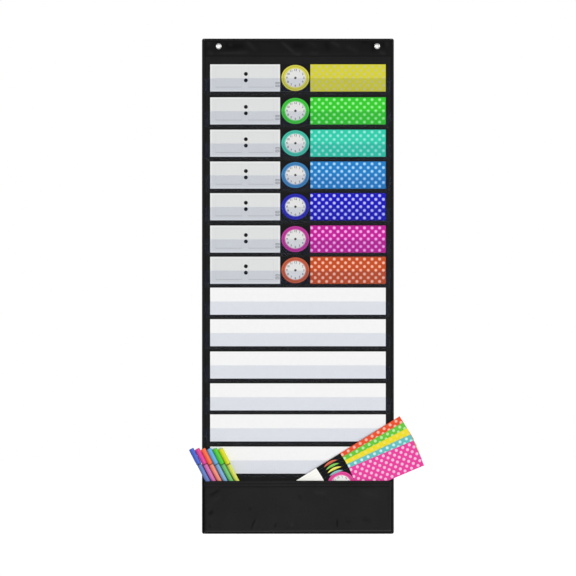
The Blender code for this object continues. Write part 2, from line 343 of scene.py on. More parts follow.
def creaseHeight(x, z, creases):
    # Soft ridges, each from one point to another, with a half width and a height at its middle
    height = 0
    for startX, startZ, endX, endZ, halfWidth, rise in creases:
        alongX, alongZ = endX - startX, endZ - startZ
        length = math.hypot(alongX, alongZ)
        share = ((x - startX) * alongX + (z - startZ) * alongZ) / length**2
        aside = ((x - startX) * alongZ - (z - startZ) * alongX) / length
        if -0.5 < share < 1.5:
            taper = math.exp(-((2 * share - 1) ** 4))
            height += rise * taper * bell(aside, halfWidth)
    return height


def markCreases(piece, creases):
    # Keeps how far each point stands up in a crease, in millimetres, for the cloth's painted shade in
    # dents and painted highlight on ridges
    marks = piece.data.attributes.new(paintedShadeMark, "FLOAT", "POINT")
    for point, mark in zip(piece.data.vertices, marks.data):
        mark.value = creaseHeight(point.co.x, point.co.z, creases) / millimetre


# Sewing thread


threads = {
    "pitch": 0.0033,
    "stitch": 0.0023,
    "width": 0.00055,
    "rise": 0.00022,
    "sides": 6,
    "ringShares": (0.0, 0.12, 0.5, 0.88, 1.0),
    "twist": 0.0006,
    "startShare": 0.15,  # of a stitch's pitch, before its first end
    "tipShare": 0.04,
    "colour": tone(34, 34, 35),
    "hemColour": tone(13, 13, 13),
}


def makeThreadFinish(name, colour):
    finish = Finish(name, **matt)
    slant = finish.place().along((1, 0, 1))
    twist = (slant * (2 * math.pi / threads["twist"])).sine() * 0.5 + 0.5
    finish.paint(scaled(colour, 0.7), scaled(colour, 1.2), twist)
    return finish


def addStitch(mesh, start, end, face):
    # A short spindle of thread that stands on the cloth
    across = (end - start).normalized().cross(face) * threads["width"] / 2
    rise = face * threads["rise"]
    tip = threads["tipShare"]
    turns = [2 * math.pi * n / threads["sides"] for n in range(threads["sides"])]
    rings = []
    for share in threads["ringShares"]:
        full = math.sin(math.pi * min(max(share, tip), 1 - tip)) ** 0.5
        centre = start.lerp(end, share)
        rings.append([centre + full * (across * math.cos(t) + rise * math.sin(t)) for t in turns])
    loftMesh(rings, mesh)


def sewLine(name, finish, length, pointAt, face=outward):
    # Stitches along a line that a function of its share gives
    mesh = bmesh.new()
    count = round(length / threads["pitch"])
    stitchShare = threads["stitch"] / threads["pitch"]
    for n in range(count):
        first = n + threads["startShare"]
        addStitch(mesh, pointAt(first / count), pointAt((first + stitchShare) / count), face)
    bmesh.ops.recalc_face_normals(mesh, faces=mesh.faces)
    return addPiece(name, mesh, finish, slot="black_cloth")


def sewStraight(name, start, end, face):
    length = (end - start).length
    return sewLine(name, threadFinish, length, lambda share: start.lerp(end, share), face)


# Black cloth: the panel, the folded header and the bottom pocket


cloth = {
    "thread": 0.00062,
    "weaveDepth": 0.00005,
    "panelColour": tone(34, 34, 34),
    "headerColour": tone(26, 26, 26),
    "pocketColour": tone(37, 37, 37),
    "hemColour": tone(37, 37, 37),
    "tapeColour": tone(34, 34, 34),
    "rangeShare": 0.65,  # how far the darkest and the lightest thread are from the colour
    # Painted shade and highlight per millimetre of a crease's rise: darker in dents, lighter on ridges
    "creaseShade": 0.42,
    "headerCreaseShade": 0.60,
    "weaveShare": 0.12,  # of the way from the darkest to the lightest shade
    "wearShare": 0.40,
    "leastShare": 0.24,
    "blotchSize": 0.045,
    "blotchShare": 0.7,
    "fleckSize": 0.004,
    "lumpSize": 0.012,
}


def makeClothFinish(name, colour, creaseShade=cloth["creaseShade"]):
    finish = Finish(name, **matt)
    place = finish.place()
    pitch = 2 * math.pi / cloth["thread"]
    warp = (place.along((1, 0, 0)) * pitch).sine()
    weft = (place.along((0, 0, 1)) * pitch).sine()
    weave = warp * weft * 0.5 + 0.5
    blotches, flecks = finish.cloud(cloth["blotchSize"], 3.0), finish.cloud(cloth["fleckSize"], 1.0)
    wear = blotches * cloth["blotchShare"] + flecks * (1 - cloth["blotchShare"])
    # Painted shade and highlight: the crease mark darkens the base colour in dents and lightens it on
    # ridges
    crease = finish.node("ShaderNodeAttribute", {"attribute_name": paintedShadeMark}, {}, "Fac")
    shade = weave * cloth["weaveShare"] + wear * cloth["wearShare"] + cloth["leastShare"]
    shade += crease * creaseShade
    dark, light = (1 + side * cloth["rangeShare"] for side in (-1, 1))
    finish.paint(scaled(colour, dark), scaled(colour, light), shade.larger(0))
    finish.bump(weave + finish.cloud(cloth["lumpSize"]) * 2, cloth["weaveDepth"], 0.7)
    return finish


panelCloth = {
    "thickness": 0.0006,
    "ripple": 0.00010,
    "rippleSize": 0.07,
    "step": 0.006,
}


def eyeletCentres():
    return [sum(boxes[f"eyelet_{side}"], Vector()) / 2 for side in ("left", "right")]


def makePanel(finish):
    low, high = boxes["back_panel"]
    middle = (low.y + high.y) / 2
    size = (high.x - low.x, high.z - low.z)

    def pointAt(across, up):
        x, z = between(low.x, high.x, across), between(low.z, high.z, up)
        return (x, middle + cloudAt(x, z, panelCloth["rippleSize"]) * panelCloth["ripple"], z)

    acrossSteps, upSteps = (round(side / panelCloth["step"]) for side in size)
    mesh = gridMesh(acrossSteps, upSteps, pointAt)
    panel = addPiece("panel_cloth", mesh, finish, replaces=["back_panel"], slot="black_cloth")
    thicken(panel, panelCloth["thickness"])
    settle(panel)
    punch(panel, eyeletCentres(), eyelets["clothHole"])
    return panel, size


headerFold = {
    "thickness": 0.0009,
    "step": 0.0011,
    "puff": 0.0003,
    "puffSize": 0.03,
    "seamAboveEdge": 0.0055,
    "seamPull": 0.00035,
    "smoothRing": 0.0075,
    "flatShare": 0.7,  # of the ring's radius, flat round an eyelet
    "sideEase": 0.004,
    "edgeEase": 0.002,
    "seamPullWidth": 0.0012,
    "threadProud": 0.00008,
    "rowsPerColumn": 1.6,
    "dentShare": 0.25,  # of a dent, so that the fold stays clear of the panel
    "room": 0.0009,  # ridges flatten out below this, so that the first card can slide up past them
    # Ridges and dents from one place to another: x and height from the eyelets, half width, rise
    # Each rise also sets the painted shade in a dent, at its full depth, and the painted highlight on a
    # ridge
    "creases": (
        (-0.1377, -0.0118, -0.0895, -0.0110, 0.0021, 0.0009),
        (-0.1550, 0.0090, -0.1530, 0.0000, 0.0031, 0.0006),
        (-0.1560, -0.0090, -0.1460, -0.0140, 0.0037, 0.0007),
        (-0.1270, 0.0010, -0.0920, -0.0010, 0.0070, -0.0006),
        (-0.1200, 0.0040, -0.1130, 0.0010, 0.0022, 0.0008),
        (-0.0900, 0.0090, -0.0720, -0.0080, 0.0037, 0.0007),
        (-0.0700, 0.0020, -0.0300, -0.0040, 0.0080, 0.0002),
        (-0.0290, 0.0075, -0.0040, -0.0140, 0.0028, 0.0011),
        (-0.0100, 0.0020, 0.0120, 0.0010, 0.0050, -0.0005),
        (-0.0040, -0.0135, 0.0060, -0.0145, 0.0037, 0.0007),
        (0.0180, 0.0090, 0.0320, -0.0020, 0.0037, 0.0004),
        (0.0200, -0.0110, 0.0360, -0.0140, 0.0037, 0.0005),
        (0.0470, 0.0080, 0.0530, -0.0080, 0.0050, -0.0004),
        (0.0560, 0.0090, 0.0720, -0.0010, 0.0031, 0.0007),
        (0.0820, 0.0010, 0.1040, -0.0100, 0.0044, 0.0006),
        (0.1280, 0.0090, 0.1300, -0.0090, 0.0050, -0.0007),
        (0.1460, 0.0080, 0.1470, -0.0020, 0.0031, -0.0005),
        (0.1400, -0.0090, 0.1500, -0.0140, 0.0031, 0.0009),
        (0.1520, 0.0080, 0.1530, -0.0010, 0.0031, 0.0004),
        (-0.1500, -0.0160, 0.1500, -0.0160, 0.0060, 0.0004),
        (-0.1040, -0.0070, -0.0860, -0.0100, 0.0028, 0.0004),
        (0.1080, 0.0085, 0.1220, 0.0060, 0.0037, -0.0004),
        (-0.1450, 0.0100, -0.1330, 0.0085, 0.0025, -0.0004),
    ),
}


def makeHeader(finish):
    low, high = boxes["header_hem"]
    middle = (low.y + high.y) / 2
    seam = low.z + headerFold["seamAboveEdge"]
    size = (high.x - low.x, high.z - low.z)
    centres = eyeletCentres()

    def standing(x, z):
        # How far the fold's middle stands in front of its flat place
        rise = headerFold["puff"] * (0.5 + cloudAt(x, z, headerFold["puffSize"]))
        crease = creaseHeight(x, z, headerFold["creases"])
        rise += crease if crease > 0 else crease * headerFold["dentShare"]
        rise = headerFold["room"] * math.tanh(rise / headerFold["room"])
        rise -= headerFold["seamPull"] * bell(z - seam, headerFold["seamPullWidth"])
        near = min(math.hypot(x - centre.x, z - centre.z) for centre in centres)
        free = min(max(near / headerFold["smoothRing"] - headerFold["flatShare"], 0), 1)
        fromSide = min(x - low.x, high.x - x) / headerFold["sideEase"]
        fromEdge = min(z - low.z, high.z - z) / headerFold["edgeEase"]
        return rise * free * min(fromSide, fromEdge, 1)

    def pointAt(across, up):
        x, z = between(low.x, high.x, across), between(low.z, high.z, up)
        return (x, middle - standing(x, z), z)

    acrossSteps = round(size[0] / headerFold["step"])
    upSteps = round(size[1] / headerFold["step"] * headerFold["rowsPerColumn"])
    mesh = gridMesh(acrossSteps, upSteps, pointAt)
    header = addPiece("header_fold", mesh, finish, replaces=["header_hem"], slot="black_cloth")
    markCreases(header, headerFold["creases"])
    thicken(header, headerFold["thickness"])
    settle(header)
    punch(header, centres, eyelets["clothHole"])

    def seamPoint(share):
        x = between(low.x, high.x, share)
        front = middle - standing(x, seam) - headerFold["thickness"] / 2
        return Vector((x, front + headerFold["threadProud"], seam))

    return header, size, [sewLine("header_seam", threadFinish, size[0], seamPoint)]


# Bottom pocket


bottomPocket = {
    "thickness": 0.0007,
    "sideRound": 0.0036,
    "bottomRound": 0.0022,
    "sideTurnShare": 0.09,  # of the run across, in each rounded side
    "bottomTurnShare": 0.22,
    "bottomRise": 0.0005,  # above the solid's foot, at the left side
    "bottomSlant": 0.0009,  # higher than that at the right side
    "mouthRise": 0.0015,  # above the solid's mouth
    "mouthEase": 0.012,  # from each side, where it comes up to that
    "sag": 0.0011,
    "ripple": 0.0005,
    "rippleSize": 0.028,
    "room": 0.0020,  # between what is in the pocket and the cloth's middle
    "penEndX": -0.054,  # where the room for the pens ends
    "penEndRun": 0.054,  # over which it narrows to that for the strips
    "hollow": (-0.078, 0.022, 0.05),  # between pens and strips: x, half width, below the mouth
    "hollowShare": 0.8,
    "slacks": ((0.115, 0.045, 0.035), (-0.147, 0.016, 0.03)),  # as above, where the cloth is empty
    "slackEase": 0.03,
    "columns": 380,
    "rows": 120,
    "hemRows": 24,
    "seamPull": 0.00035,
    "hemThickness": 0.0008,
    "hemStandOff": 0.0001,
    "hemEndShare": 0.014,  # of the run across, left bare beside each side seam
    "hemSeams": (0.0051, 0.0101),  # below the mouth
    "hemSeamShade": -0.0009,
    "hemSeamShadeWidth": 0.0006,
    "hemSeamEndShare": 0.06,
    "seamPullWidth": 0.0008,
    "seamSinkShare": 0.8,  # of the pull, that the thread sinks with the cloth
    # Ridges and dents, as x and height from the eyelets, half width, rise
    "creases": (
        # Each rise also sets the painted shade in a dent and the painted highlight on a ridge
        (-0.0742, -0.8142, -0.0805, -0.8290, 0.0016, -0.0009),
        (-0.0705, -0.8150, -0.0765, -0.8290, 0.0020, 0.0003),
        (-0.0385, -0.8200, -0.0400, -0.8285, 0.0018, -0.0007),
        (0.0670, -0.8142, 0.0672, -0.8270, 0.0013, -0.0010),
        (-0.1530, -0.7735, -0.1340, -0.7625, 0.0028, -0.0007),
        (-0.1540, -0.8060, -0.1460, -0.7990, 0.0028, -0.0009),
        (-0.1530, -0.8280, -0.1510, -0.8220, 0.0020, -0.0006),
        (-0.1480, -0.7830, -0.1330, -0.7740, 0.0030, 0.0003),
        (-0.0860, -0.7960, -0.0800, -0.7950, 0.0030, -0.0004),
        (0.0020, -0.7720, 0.0040, -0.7800, 0.0030, -0.0004),
        (0.0260, -0.7665, 0.0480, -0.7695, 0.0035, 0.0004),
        (0.1050, -0.7650, 0.1350, -0.7720, 0.0050, 0.0003),
        (0.1100, -0.8120, 0.1250, -0.8180, 0.0040, -0.0004),
        (-0.0125, -0.8180, -0.0100, -0.8260, 0.0030, 0.0004),
        (0.0820, -0.8175, 0.0900, -0.8185, 0.0018, -0.0004),
        (0.1570, -0.7600, 0.1570, -0.8250, 0.0025, -0.0003),
        # The bead is also painted lighter by its rise, a painted highlight
        (-0.4000, -0.8360, 0.4000, -0.8335, 0.0015, 0.0016),  # the bead along its foot
    ),
    # Painted highlight only: a lighter line along the pocket's foot, where the bead would catch the
    # light; it shapes nothing
    "paintedFootHighlight": (-0.4000, -0.8362, 0.4000, -0.8335, 0.0013, 0.0030),
}


def mouthHeight(x):
    low, high = boxes["storage_pocket"]
    fromSide = min(x - low.x, high.x - x)
    return high.z + bottomPocket["mouthRise"] * easeShare(fromSide / bottomPocket["mouthEase"])


def pocketFullDepth(x, z):
    # How far forward the cloth stands over what is in the pocket
    mouth = mouthHeight(x)
    overPens = boxes["pen_barrel_lime"][0].y - bottomPocket["room"]
    overStrips = boxes["spare_card_pink"][0].y - bottomPocket["room"]
    share = easeShare((x - bottomPocket["penEndX"]) / bottomPocket["penEndRun"])
    middle, halfWidth, drop = bottomPocket["hollow"]
    slack = bell(x - middle, halfWidth) * easeShare((z - (mouth - drop)) / drop)
    slack *= bottomPocket["hollowShare"]
    for middle, halfWidth, drop in bottomPocket["slacks"]:
        below = (mouth - drop - z) / bottomPocket["slackEase"]
        slack += bell(x - middle, halfWidth) * easeShare(below)
    return between(overPens, overStrips, share) + bottomPocket["sag"] * slack


def pocketPoint(across, up, lift=0.0, bottom=None):
    # The cloth's middle surface. Across runs from the left seam to the right, up from the foot.
    low, high = boxes["storage_pocket"]
    x, sideShare = roundedRun(across, low.x, high.x)
    mouth = mouthHeight(x)
    if bottom is None:
        foot = low.z + bottomPocket["bottomRise"] + bottomPocket["bottomSlant"] * across
        z, bottomShare = roundedRise(up, foot, mouth)
    else:
        z, bottomShare = between(bottom, mouth, up), 1
    full = pocketFullDepth(x, z)
    full -= bottomPocket["ripple"] * cloudAt(x, z, bottomPocket["rippleSize"])
    full -= creaseHeight(x, z, bottomPocket["creases"])
    full -= lift
    inset = lift * (1 - sideShare)
    x += inset if x > 0 else -inset
    return Vector((x, high.y + (full - high.y) * sideShare * bottomShare, z))


def quarterRound(share, size):
    # How far in and how far forward it has come, the second as a share
    angle = math.pi / 2 * share
    return size * (1 - math.cos(angle)), math.sin(angle)


def roundedRun(share, start, end):
    # Splits a run into two quarter rounds and a straight, and gives the place and how far forward
    size, turn = bottomPocket["sideRound"], bottomPocket["sideTurnShare"]
    nearest = min(share, 1 - share)
    if nearest < turn:
        inward, forward = quarterRound(nearest / turn, size)
        return (start + inward if share < 0.5 else end - inward), forward
    return between(start + size, end - size, (share - turn) / (1 - 2 * turn)), 1


def roundedRise(share, start, end):
    size, turn = bottomPocket["bottomRound"], bottomPocket["bottomTurnShare"]
    if share < turn:
        inward, forward = quarterRound(share / turn, size)
        return start + inward, forward
    return between(start + size, end, (share - turn) / (1 - turn)), 1


def makeBottomPocket(finish, hemFinish):
    mesh = gridMesh(bottomPocket["columns"], bottomPocket["rows"], pocketPoint)
    pocket = addPiece("pocket_cloth", mesh, finish, replaces=["storage_pocket"], slot="black_cloth")
    markCreases(pocket, (*bottomPocket["creases"], bottomPocket["paintedFootHighlight"]))
    thicken(pocket, bottomPocket["thickness"])
    low, high = boxes["storage_pocket_hem"]
    mouth, drops = mouthHeight(0), bottomPocket["hemSeams"]
    hemHalf, pull = bottomPocket["hemThickness"] / 2, bottomPocket["seamPull"]
    lift = bottomPocket["thickness"] / 2 + hemHalf + bottomPocket["hemStandOff"]

    def hemPoint(across, up):
        drop = (1 - up) * (mouth - low.z)
        pulled = pull * sum(bell(drop - seam, bottomPocket["seamPullWidth"]) for seam in drops)
        ends = bottomPocket["hemEndShare"]
        return pocketPoint(between(ends, 1 - ends, across), up, lift - pulled, low.z)

    mesh = gridMesh(bottomPocket["columns"], bottomPocket["hemRows"], hemPoint)
    hem = addPiece("pocket_hem", mesh, hemFinish, replaces=["storage_pocket_hem"], slot="black_cloth")
    # Painted shade: a dark band along each hem seam, where the pulled cloth dips
    shade = (bottomPocket["hemSeamShadeWidth"], bottomPocket["hemSeamShade"])
    markCreases(hem, [(low.x, mouth - drop, high.x, mouth - drop, *shade) for drop in drops])
    thicken(hem, bottomPocket["hemThickness"])
    seams = []
    outer = lift + hemHalf - pull * bottomPocket["seamSinkShare"]
    ends = bottomPocket["hemSeamEndShare"]
    for number, drop in enumerate(drops, start=1):

        def seamPoint(share, drop=drop):
            up = 1 - drop / (mouth - low.z)
            return pocketPoint(between(ends, 1 - ends, share), up, outer, low.z)

        seams.append(sewLine(f"pocket_seam_{number}", hemThreadFinish, high.x - low.x, seamPoint))
    return pocket, hem, seams


# Binding tape round the edge


binding = {
    "stations": 150,
    "cornerRound": 0.0035,
    "cornerShiftShare": 0.8,
    "tipRound": 0.0014,
    "tipSteps": 4,
    "tipThicknessShare": 0.35,
    "waver": 0.00012,
    "waverSize": 0.03,
    "swell": (0.00022, 0.00032),  # beyond the solid's edge: top and bottom, then the sides
    "rib": 0.0011,
    "ribDepth": 0.00006,
    # The section, as widths in from the edge and heights forward from the wall
    "backLeafShares": (1.0, 0.7, 0.45),
    "backLeafHeights": (0.0001, 0.0, 0.00005),
    "frontLeafShares": ((0.55, 1.0), (0.8, 0.97), (0.93, 0.9), (1.0, 0.78)),
    "frontShare": 0.8,  # of the depth, beyond which the front leaf wavers
    "foldRound": 0.0016,
    "foldSteps": 12,
    "foldLift": 0.0001,
    "foldDepthShare": 0.97,
    "foldTopShare": 0.985,
    "slotDepthShare": 0.58,
    "slotRoom": 0.0002,
    "seamInside": 0.0009,
    "seamFrontShare": 0.955,
    "seamBack": 0.00003,
    "seamEnd": 0.001,
}


def makeTapeFinish():
    finish = Finish("Binding tape", **matt)
    place = finish.place()
    ribs = (place.along((1, 0, 1)) * (2 * math.pi / binding["rib"])).sine() * 0.5 + 0.5
    shade = ribs * 0.4 + finish.cloud(0.02) * 0.6
    colour = cloth["tapeColour"]
    finish.paint(scaled(colour, 0.75), scaled(colour, 1.3), shade)
    finish.bump(ribs, binding["ribDepth"], 0.6)
    return finish


def tapeSection(width, depth):
    # A folded tape seen from its end: inward distance from the edge, and depth from the wall.
    # It runs from the back leaf round the outer edge to the front leaf, then back along the slot.
    low, high = boxes["back_panel"]
    slotBack, slotFront = -high.y - binding["slotRoom"], -low.y + binding["slotRoom"]
    slot = width * (1 - binding["slotDepthShare"])
    fold, steps = binding["foldRound"], binding["foldSteps"]
    backLeaf = zip(binding["backLeafShares"], binding["backLeafHeights"])
    points = [(width * share, height) for share, height in backLeaf]
    points.append((fold, binding["foldLift"]))
    for turn in range(1, steps):
        angle = math.radians(-90 - 180 * turn / steps)
        height = depth / 2 * (1 + binding["foldDepthShare"] * math.sin(angle))
        points.append((fold + fold * math.cos(angle), height))
    points.append((fold, depth * binding["foldTopShare"]))
    points += [(width * share, depth * rise) for share, rise in binding["frontLeafShares"]]
    return points + [(width, slotFront), (slot, slotFront), (slot, slotBack), (width, slotBack)]


def tapePlaces(length, upright):
    # Distances along the tape, closer together in the rounded ends of an upright one
    edge, ends = 0, []
    if upright:
        edge, tip, steps = binding["cornerRound"], binding["tipRound"], binding["tipSteps"]
        ends = [quarterRound(n / steps, tip)[0] for n in range(steps)]
        ends += [tip + (edge - tip) * n / steps for n in range(steps)]
    stations = binding["stations"]
    middle = [edge + (length - 2 * edge) * n / stations for n in range(stations + 1)]
    return ends + middle + [length - place for place in reversed(ends)]


def makeTape(node, upright, outerSide, finish):
    low, high = boxes[node]
    depth = -low.y
    endSwell, swell = binding["swell"][0], binding["swell"][upright]
    if upright:
        width, start, end = high.x - low.x, low.z - endSwell, high.z + endSwell
        outer = low.x if outerSide < 0 else high.x
    else:
        width, start, end = high.z - low.z, low.x, high.x
        outer = low.z if outerSide < 0 else high.z
    outer += outerSide * swell
    width += swell
    section = tapeSection(width, depth)
    corner, tip = binding["cornerRound"], binding["tipRound"]

    def spot(across, forward, along):
        return Vector((across, -forward, along) if upright else (along, -forward, across))

    def ringAt(place):
        fromEnd = min(place, end - start - place)
        shift, close = 0, 1
        if upright and fromEnd < corner:
            shift = corner - math.sqrt(corner**2 - (corner - fromEnd) ** 2)
            shift = min(shift, width * binding["cornerShiftShare"])
        if upright and fromEnd < tip:
            rounding = math.sqrt(1 - (1 - fromEnd / tip) ** 2)
            close = between(binding["tipThicknessShare"], 1, rounding)
        spread = Vector((place / binding["waverSize"], outerSide, upright))
        waver = binding["waver"] * noise.noise(spread)
        ring = []
        for inward, forward in section:
            inward = shift + inward * (width - shift) / width
            forward = depth / 2 + (forward - depth / 2) * close
            if forward > depth * binding["frontShare"]:
                forward += waver
            ring.append(spot(outer - outerSide * inward, forward, start + place))
        return ring

    mesh = loftMesh([ringAt(place) for place in tapePlaces(end - start, upright)])
    bmesh.ops.recalc_face_normals(mesh, faces=mesh.faces)
    name = node.replace("binding_", "tape_")
    pieces = [addPiece(name, mesh, finish, replaces=[node], slot="binding_tape", sharpAngle=50)]
    inset = corner if upright else binding["seamEnd"]
    across = outer - outerSide * (width - binding["seamInside"])
    front, back = depth * binding["seamFrontShare"], binding["seamBack"]
    for side, face, forward in (("front", outward, front), ("back", -outward, back)):
        first, last = (spot(across, forward, along) for along in (start + inset, end - inset))
        pieces.append(sewStraight(f"{name}_{side}_seam", first, last, face))
    return pieces


def makeBinding(finish):
    pieces = []
    for node, upright, side in (
        ("binding_left", True, -1),
        ("binding_right", True, 1),
        ("binding_top", False, 1),
        ("binding_bottom", False, -1),
    ):
        pieces += makeTape(node, upright, side, finish)
    return pieces


# Eyelets


eyelets = {
    "sides": 48,
    "clothHole": 0.0070,
    "bore": 0.0060,
    "wall": 0.0003,
    "clinch": 0.0084,
    "flangeThickness": 0.0008,
    "washerHole": 0.0072,
    "washerRound": 0.0003,
    # Outlines, as radius and height from the place that each one is named after
    "flangeEdge": ((-0.0002, 0), (0, 0.00015), (-0.0002, 0.0004)),
    "crown": ((0.0006, -0.00006), (0, 0), (-0.0006, -0.00004)),
    "boreFront": ((0.00035, -0.0003), (0.00005, -0.0007), (0, -0.0012)),
    "boreBack": ((0, 0.0007), (0.0001, 0.00025), (0.0004, 0)),
    "clinchEdge": ((-0.0002, 0), (0, 0.00015), (-0.0001, 0.0004)),
    "wallBack": ((0.0002, 0.0005), (0, 0.0008)),
}


def makeNickelFinish():
    finish = Finish("Nickel", roughness=0.22, Metallic=1.0)
    finish.paint(tone(150, 150, 148), tone(186, 185, 183), finish.cloud(0.004))
    finish.set("Roughness", finish.cloud(0.0012, 4.0) * 0.22 + 0.12)
    finish.bump(finish.cloud(0.0009), 0.00002, 0.3)
    return finish


def eyeletProfile(flange, front, back):
    # Heights run forward from the wall
    bore, clinch = eyelets["bore"] / 2, eyelets["clinch"] / 2
    wall = bore + eyelets["wall"]
    flangeBack = front - eyelets["flangeThickness"]
    profile = []
    for outline, radius, height in (
        ("flangeEdge", flange, flangeBack),
        ("crown", (bore + flange) / 2, front),
        ("boreFront", bore, front),
        ("boreBack", bore, back),
        ("clinchEdge", clinch, back),
        ("wallBack", wall, back),
    ):
        profile += [(radius + out, height + up) for out, up in eyelets[outline]]
    return profile + [(wall, flangeBack)]


def washerProfile(radius, front, back):
    hole, edge = eyelets["washerHole"] / 2, eyelets["washerRound"]
    rim = [(radius - 2 * edge, front), (radius, (front + back) / 2), (radius - edge, back)]
    return [(hole, front), *rim, (hole, back)]


def makeEyelets(finish):
    kinds = (("eyelet", eyeletProfile, 70), ("eyelet_washer", washerProfile, 40))
    for side, centre in zip(("left", "right"), eyeletCentres()):
        turn = Matrix.Translation((centre.x, 0, centre.z)) @ Matrix.Rotation(math.pi / 2, 4, "X")
        for kind, profileOf, sharpAngle in kinds:
            node = f"{kind}_{side}"
            low, high = boxes[node]
            profile = profileOf((high.x - low.x) / 2, -low.y, -high.y)
            mesh = turnedMesh(profile, eyelets["sides"], closed=True)
            mesh.transform(turn)
            name = "nickel_" + node.replace("eyelet_washer", "washer")
            addPiece(name, mesh, finish, replaces=[node], slot="nickel", sharpAngle=sharpAngle)


# Clear pockets


film = {
    "thickness": 0.00022,
    "bodyShare": 0.04,  # of the film that shows by itself
    "seamHighlightShare": 0.07,
    "tint": (0.979, 0.986, 1.0),
    "colour": (0.04, 0.06, 0.15),
    "seamHighlightColour": (0.06, 0.065, 0.08),
    "seamLineDrop": 0.0008,
    "seamLineSoft": 0.0012,
    "bow": 0.00018,
    "columns": 90,
    "seamBelowCard": 0.0034,
    "backSeamProud": 0.0001,
    "footBelowCard": 0.0012,
    "footTurn": 0.0005,
    "frontRows": 8,
    "bowRun": 0.045,
    "bowShift": 0.4,
}


def makeFilmFinish(name, footZ):
    finish = Finish(name, roughness=0.12, Specular_IOR_Level=0.5)
    height = finish.place().along((0, 0, 1)) - footZ
    # Below its seam line the film shows more of itself and is less blue: partly the film's own flange,
    # partly a painted highlight where the fold catches the light
    seam = (height + film["seamLineDrop"]).inside(film["seamLineSoft"])
    finish.paint(film["colour"], film["seamHighlightColour"], seam)
    finish.veil(film["tint"], seam * (film["seamHighlightShare"] - film["bodyShare"]) + film["bodyShare"])
    finish.set("Roughness", finish.cloud(0.01) * 0.1 + 0.1)
    return finish


def makeClearPocket(number, cardNode):
    node = f"clear_pocket_{number}"
    low, high = boxes[node]
    cardFoot = boxes[cardNode][0].z
    finish = makeFilmFinish(f"Clear film {number}", cardFoot)
    lean = jointAxes[f"{cardNode}_lift"]
    slope = -lean.y / lean.z
    thickness, turn, rows = film["thickness"], film["footTurn"], film["frontRows"]
    front, back = low.y + thickness / 2, high.y - thickness / 2
    foot = cardFoot - film["footBelowCard"]
    footFront = front + slope * (high.z - foot)
    path = [
        (back, low.z),
        (back, foot - turn * 1.2),
        (high.y - turn * 0.6, foot - turn * 0.4),
        ((high.y + footFront) / 2, foot),
        (footFront + turn * 0.4, foot + turn * 0.2),
        (footFront, foot + turn),
    ]
    bent = len(path) - 1
    for step in range(1, rows + 1):
        z = foot + turn + (high.z - foot - turn) * step / rows
        path.append((front + slope * (high.z - z), z))

    def pointAt(across, up):
        x = between(low.x, high.x, across)
        index = round(up * (len(path) - 1))
        y, z = path[index]
        free = max(index - bent, 0) / rows
        wave = noise.noise(Vector((x / film["bowRun"], int(number), 0))) + film["bowShift"]
        return (x, y - film["bow"] * wave * free**2, z)

    mesh = gridMesh(film["columns"], len(path) - 1, pointAt)
    piece = addPiece(f"film_{number}", mesh, finish, replaces=[node], slot="clear_film")
    thicken(piece, thickness)
    length = sum(math.dist(first, second) for first, second in zip(path, path[1:]))
    seamZ = cardFoot - film["seamBelowCard"]
    behind = boxes["back_panel"][1].y - film["backSeamProud"]
    for kind, y, face in (("film", high.y - thickness, outward), ("film_back", behind, -outward)):
        ends = Vector((low.x, y, seamZ)), Vector((high.x, y, seamZ))
        sewStraight(f"{kind}_seam_{number}", *ends, face)


# Card strips


stripPrint = {
    # Shares are of the strip's length across, and of its height up
    "timePanelEndShare": 0.3983,
    "dotPanelStartShare": 0.5707,
    "clockShare": 0.4855,
    "ringInnerShare": 0.75,  # of the clock's size, where the coloured ring ends
    "ringLineShare": 0.875,
    "ringLineHalfShare": 0.026,
    "faceShare": 0.705,
    "colonAcrossShare": 0.2035,
    "colonUpShares": (0.411, 0.648),
    "colonSize": 0.0067,
    "writeBoxShares": ((0.0325, 0.1785), (0.2195, 0.3600)),
    "writeBoxUpShares": (0.163, 0.904),
    "writeLine": 0.0009,
    "tickAcrossShare": 0.3835,
    "tickUpShares": (0.204, 0.311),
    "tickWidth": 0.0058,
    "tickHeight": 0.0024,
    "dotSize": 0.0050,
    "dotStepShare": 0.0431,
    "dotRiseShare": 0.275,
    "dotPhaseShare": 0.7713,
    "edge": 0.00025,
    "centreDot": 0.0042,
    "groundDarkShare": 0.92,  # of the colour, where it is darker
    "ringDarkShare": 0.72,
    "paleRing": (0.85, 0.85, 0.85),
    "paleRingShare": 0.4,
    "panelInset": 0.0032,
    "panelSoft": 0.0006,
    "tickLine": 0.0004,
    "black": tone(18, 18, 19),
    "colonTone": tone(24, 23, 24),
    "tickTone": tone(110, 112, 112),
    "cutTones": (tone(236, 235, 232), tone(226, 226, 224)),
}
rowBoard = {
    "board": tone(225, 226, 226),
    "face": tone(229, 229, 228),
    "outlineShare": 0.94,
    "ruledShare": 0.72,
    "clockWidthShare": 0.1590,
    "clockHeightShare": 0.955,
    "clockUpShare": 0.5,
}
spareBoard = {
    "board": tone(252, 251, 245),
    "face": tone(243, 243, 240),
    "outlineShare": 1.0,
    "ruledShare": 0.985,
    "clockWidthShare": 0.156,
    "clockHeightShare": 0.905,
    "clockUpShare": 0.5,
}
frontClock = {"clockWidthShare": 0.168, "clockHeightShare": 0.96, "clockUpShare": 0.54}


def printed(board, ground, dot, ring, **changes):
    # A strip's colours on its kind of board, with what is different on this one strip
    return {**board, "ground": tone(*ground), "dot": tone(*dot), "ring": tone(*ring), **changes}


